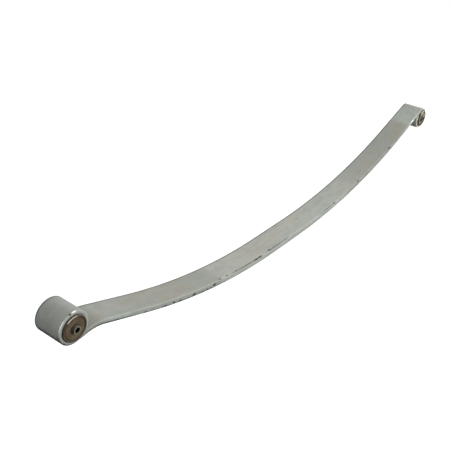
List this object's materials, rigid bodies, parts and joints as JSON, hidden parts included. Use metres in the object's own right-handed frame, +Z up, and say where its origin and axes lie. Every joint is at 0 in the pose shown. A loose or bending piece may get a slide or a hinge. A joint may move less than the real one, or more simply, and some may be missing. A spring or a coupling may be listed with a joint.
{
  "type": "leaf spring",
  "caption": "Single-leaf parabolic rear spring with a rolled eye at each end and a pressed-in rubber bush in each eye.",
  "frame": {"origin": "centre of the flat lower face of the axle seat, in the middle of the leaf", "axes": "+X along the leaf towards the small rear eye, +Y across its width, +Z up, the side that the leaf curves towards"},
  "size_m": [1.6402, 0.09, 0.1994],
  "materials": {
    "leaf_paint": "satin grey-green paint with chipped edges",
    "sleeve_steel": "thin surface rust",
    "bush_rubber": "matt black rubber with brown dust and rust stain",
    "plated_steel": "dull plated steel"
  },
  "bodies": {
    "seat": {"leaf_centre": "leaf_paint"},
    "front_arm": {"leaf_front_arm": "leaf_paint", "front_bush_outer_sleeve": "sleeve_steel", "front_bush_rubber": "bush_rubber"},
    "front_inner_sleeve": {"front_bush_inner_sleeve": "plated_steel"},
    "rear_arm": {"leaf_rear_arm": "leaf_paint", "rear_bush_outer_sleeve": "sleeve_steel", "rear_bush_rubber": "bush_rubber"},
    "rear_inner_sleeve": {"rear_bush_inner_sleeve": "plated_steel"}
  },
  "joints": [
    {"name": "front_arm_flex", "type": "hinge", "parent": "seat", "child": "front_arm", "pos_m": [-0.23663, 0, 0.01847], "axis": [0, -1, 0], "range_deg": [-2, 17], "stiffness_Nm_per_rad": 7600},
    {"name": "rear_arm_flex", "type": "hinge", "parent": "seat", "child": "rear_arm", "pos_m": [0.24963, 0, 0.01875], "axis": [0, 1, 0], "range_deg": [-2, 17], "stiffness_Nm_per_rad": 6900},
    {"name": "front_bush_twist", "type": "hinge", "parent": "front_arm", "child": "front_inner_sleeve", "pos_m": [-0.75939, 0, 0.16198], "axis": [0, 1, 0], "range_deg": [-20, 20], "stiffness_Nm_per_rad": 90},
    {"name": "rear_bush_twist", "type": "hinge", "parent": "rear_arm", "child": "rear_inner_sleeve", "pos_m": [0.80912, 0, 0.13537], "axis": [0, 1, 0], "range_deg": [-20, 20], "stiffness_Nm_per_rad": 60}
  ]
}
